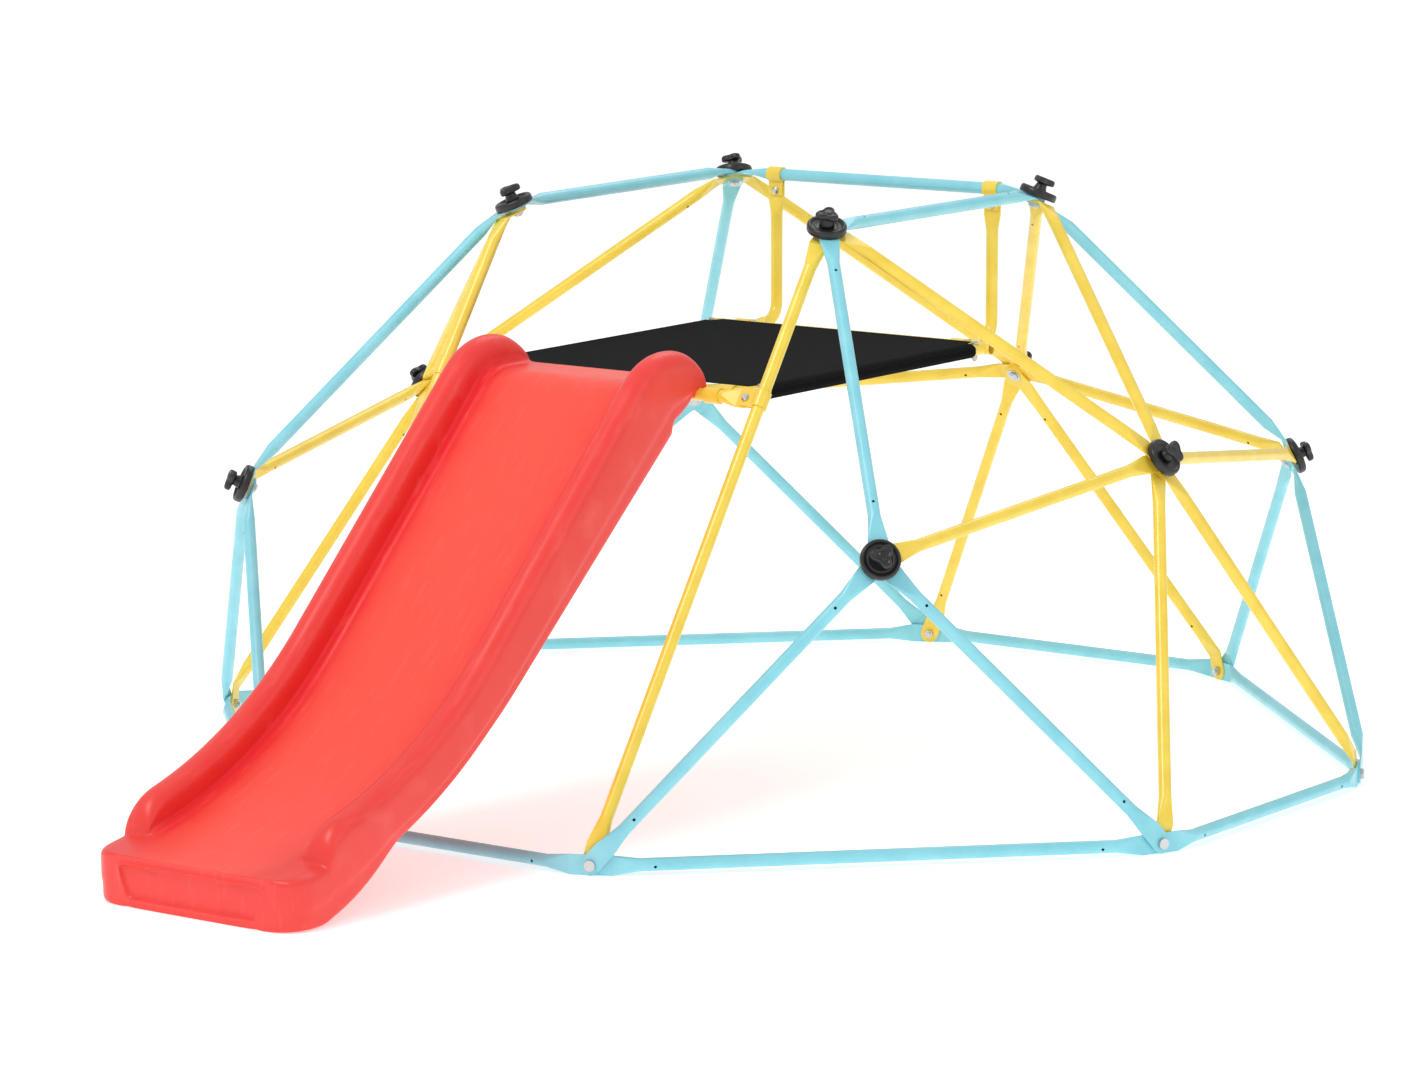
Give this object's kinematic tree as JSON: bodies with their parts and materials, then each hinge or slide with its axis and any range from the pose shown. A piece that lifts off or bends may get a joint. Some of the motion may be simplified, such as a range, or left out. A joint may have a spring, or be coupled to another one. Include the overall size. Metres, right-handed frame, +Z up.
{
  "type": "dome climber",
  "caption": "Dome climbing frame of straight bolted tubes, with a cloth deck inside its open front and a slide that leads from the deck to the ground.",
  "frame": {"origin": "on the ground, under the middle of the whole climber's bounding box", "axes": "+Z up; the slide leaves towards -Y and the dome is towards +Y; +X is to the right of someone who looks at the slide's front end from the front"},
  "size_m": [1.8116, 2.3162, 0.9042],
  "materials": {
    "blue_steel": "glossy pale blue powder coat on thin steel tube",
    "yellow_steel": "glossy yellow powder coat on thin steel tube and on pressed bands",
    "black_plastic": "moulded black plastic with a fine satin grain",
    "zinc_steel": "bright zinc plate on bolts, nuts and washers",
    "deck_mesh": "close-woven black polyester mesh, ribbed at the sleeves",
    "slide_plastic": "blow-moulded coral red polyethylene, satin outside and polished by use on the bed"
  },
  "bodies": {
    "frame": {"base_bar_right": "blue_steel", "base_bar_rear": "blue_steel", "base_bar_left": "blue_steel", "base_bar_front": "blue_steel", "base_bar_rear_right": "blue_steel", "base_bar_rear_left": "blue_steel", "base_bar_front_left": "blue_steel", "base_bar_front_right": "blue_steel", "legs_rear_right": "blue_steel", "legs_rear_left": "blue_steel", "legs_front_left": "blue_steel", "legs_front_right": "blue_steel", "rafter_rear_right": "blue_steel", "rafter_rear_left": "blue_steel", "rafter_front_left": "blue_steel", "rafter_front_right": "blue_steel", "top_bar_rear": "blue_steel", "top_bar_left": "blue_steel", "top_bar_right": "blue_steel", "upper_braces_right": "yellow_steel", "upper_braces_rear": "yellow_steel", "upper_braces_left": "yellow_steel", "cross_braces_right": "yellow_steel", "cross_braces_rear": "yellow_steel", "cross_braces_left": "yellow_steel", "lower_braces_right": "yellow_steel", "lower_braces_rear": "yellow_steel", "lower_braces_left": "yellow_steel", "entry_post_left": "yellow_steel", "entry_post_right": "yellow_steel", "joint_discs": "black_plastic", "joint_bolts": "zinc_steel", "joint_washers": "zinc_steel", "base_bolts": "zinc_steel", "base_nuts": "zinc_steel", "entrance_bar": "yellow_steel", "entrance_clamps": "yellow_steel", "deck_saddles": "yellow_steel", "deck_cross_tubes": "yellow_steel", "deck_side_tube_left": "yellow_steel", "deck_side_tube_right": "yellow_steel", "deck_cloth": "deck_mesh", "hanger_left": "yellow_steel", "hanger_right": "yellow_steel", "hanger_clamps": "yellow_steel", "clamp_bolts": "zinc_steel", "clamp_nuts": "zinc_steel", "slide": "slide_plastic", "slide_keepers": "black_plastic"},
    "knob_top_rear_right": {"knob_top_rear_right": "black_plastic"},
    "knob_top_rear_left": {"knob_top_rear_left": "black_plastic"},
    "knob_top_front_left": {"knob_top_front_left": "black_plastic"},
    "knob_top_front_right": {"knob_top_front_right": "black_plastic"},
    "knob_corner_rear_right": {"knob_corner_rear_right": "black_plastic"},
    "knob_corner_rear_left": {"knob_corner_rear_left": "black_plastic"},
    "knob_corner_front_left": {"knob_corner_front_left": "black_plastic"},
    "knob_corner_front_right": {"knob_corner_front_right": "black_plastic"},
    "knob_side_right": {"knob_side_right": "black_plastic"},
    "knob_side_rear": {"knob_side_rear": "black_plastic"},
    "knob_side_left": {"knob_side_left": "black_plastic"}
  },
  "joints": [
    {"name": "knob_top_rear_right_turn", "type": "hinge", "parent": "frame", "child": "knob_top_rear_right", "pos_m": [0.29807, 0.54921, 0.88854], "axis": [0.2706, 0.2706, 0.9239], "continuous": true},
    {"name": "knob_top_rear_left_turn", "type": "hinge", "parent": "frame", "child": "knob_top_rear_left", "pos_m": [-0.29807, 0.54921, 0.88854], "axis": [-0.2706, 0.2706, 0.9239], "continuous": true},
    {"name": "knob_top_front_left_turn", "type": "hinge", "parent": "frame", "child": "knob_top_front_left", "pos_m": [-0.29807, -0.04693, 0.88854], "axis": [-0.2706, -0.2706, 0.9239], "continuous": true},
    {"name": "knob_top_front_right_turn", "type": "hinge", "parent": "frame", "child": "knob_top_front_right", "pos_m": [0.29807, -0.04693, 0.88854], "axis": [0.2706, -0.2706, 0.9239], "continuous": true},
    {"name": "knob_corner_rear_right_turn", "type": "hinge", "parent": "frame", "child": "knob_corner_rear_right", "pos_m": [0.60392, 0.85506, 0.4518], "axis": [0.646, 0.646, 0.4067], "continuous": true},
    {"name": "knob_corner_rear_left_turn", "type": "hinge", "parent": "frame", "child": "knob_corner_rear_left", "pos_m": [-0.60392, 0.85506, 0.4518], "axis": [-0.646, 0.646, 0.4067], "continuous": true},
    {"name": "knob_corner_front_left_turn", "type": "hinge", "parent": "frame", "child": "knob_corner_front_left", "pos_m": [-0.60392, -0.35278, 0.4518], "axis": [-0.646, -0.646, 0.4067], "continuous": true},
    {"name": "knob_corner_front_right_turn", "type": "hinge", "parent": "frame", "child": "knob_corner_front_right", "pos_m": [0.60392, -0.35278, 0.4518], "axis": [0.646, -0.646, 0.4067], "continuous": true},
    {"name": "knob_side_right_turn", "type": "hinge", "parent": "frame", "child": "knob_side_right", "pos_m": [0.71884, 0.25114, 0.53662], "axis": [0.8192, 0, 0.5736], "continuous": true},
    {"name": "knob_side_rear_turn", "type": "hinge", "parent": "frame", "child": "knob_side_rear", "pos_m": [0, 0.96998, 0.53662], "axis": [0, 0.8192, 0.5736], "continuous": true},
    {"name": "knob_side_left_turn", "type": "hinge", "parent": "frame", "child": "knob_side_left", "pos_m": [-0.71884, 0.25114, 0.53662], "axis": [-0.8192, 0, 0.5736], "continuous": true}
  ]
}
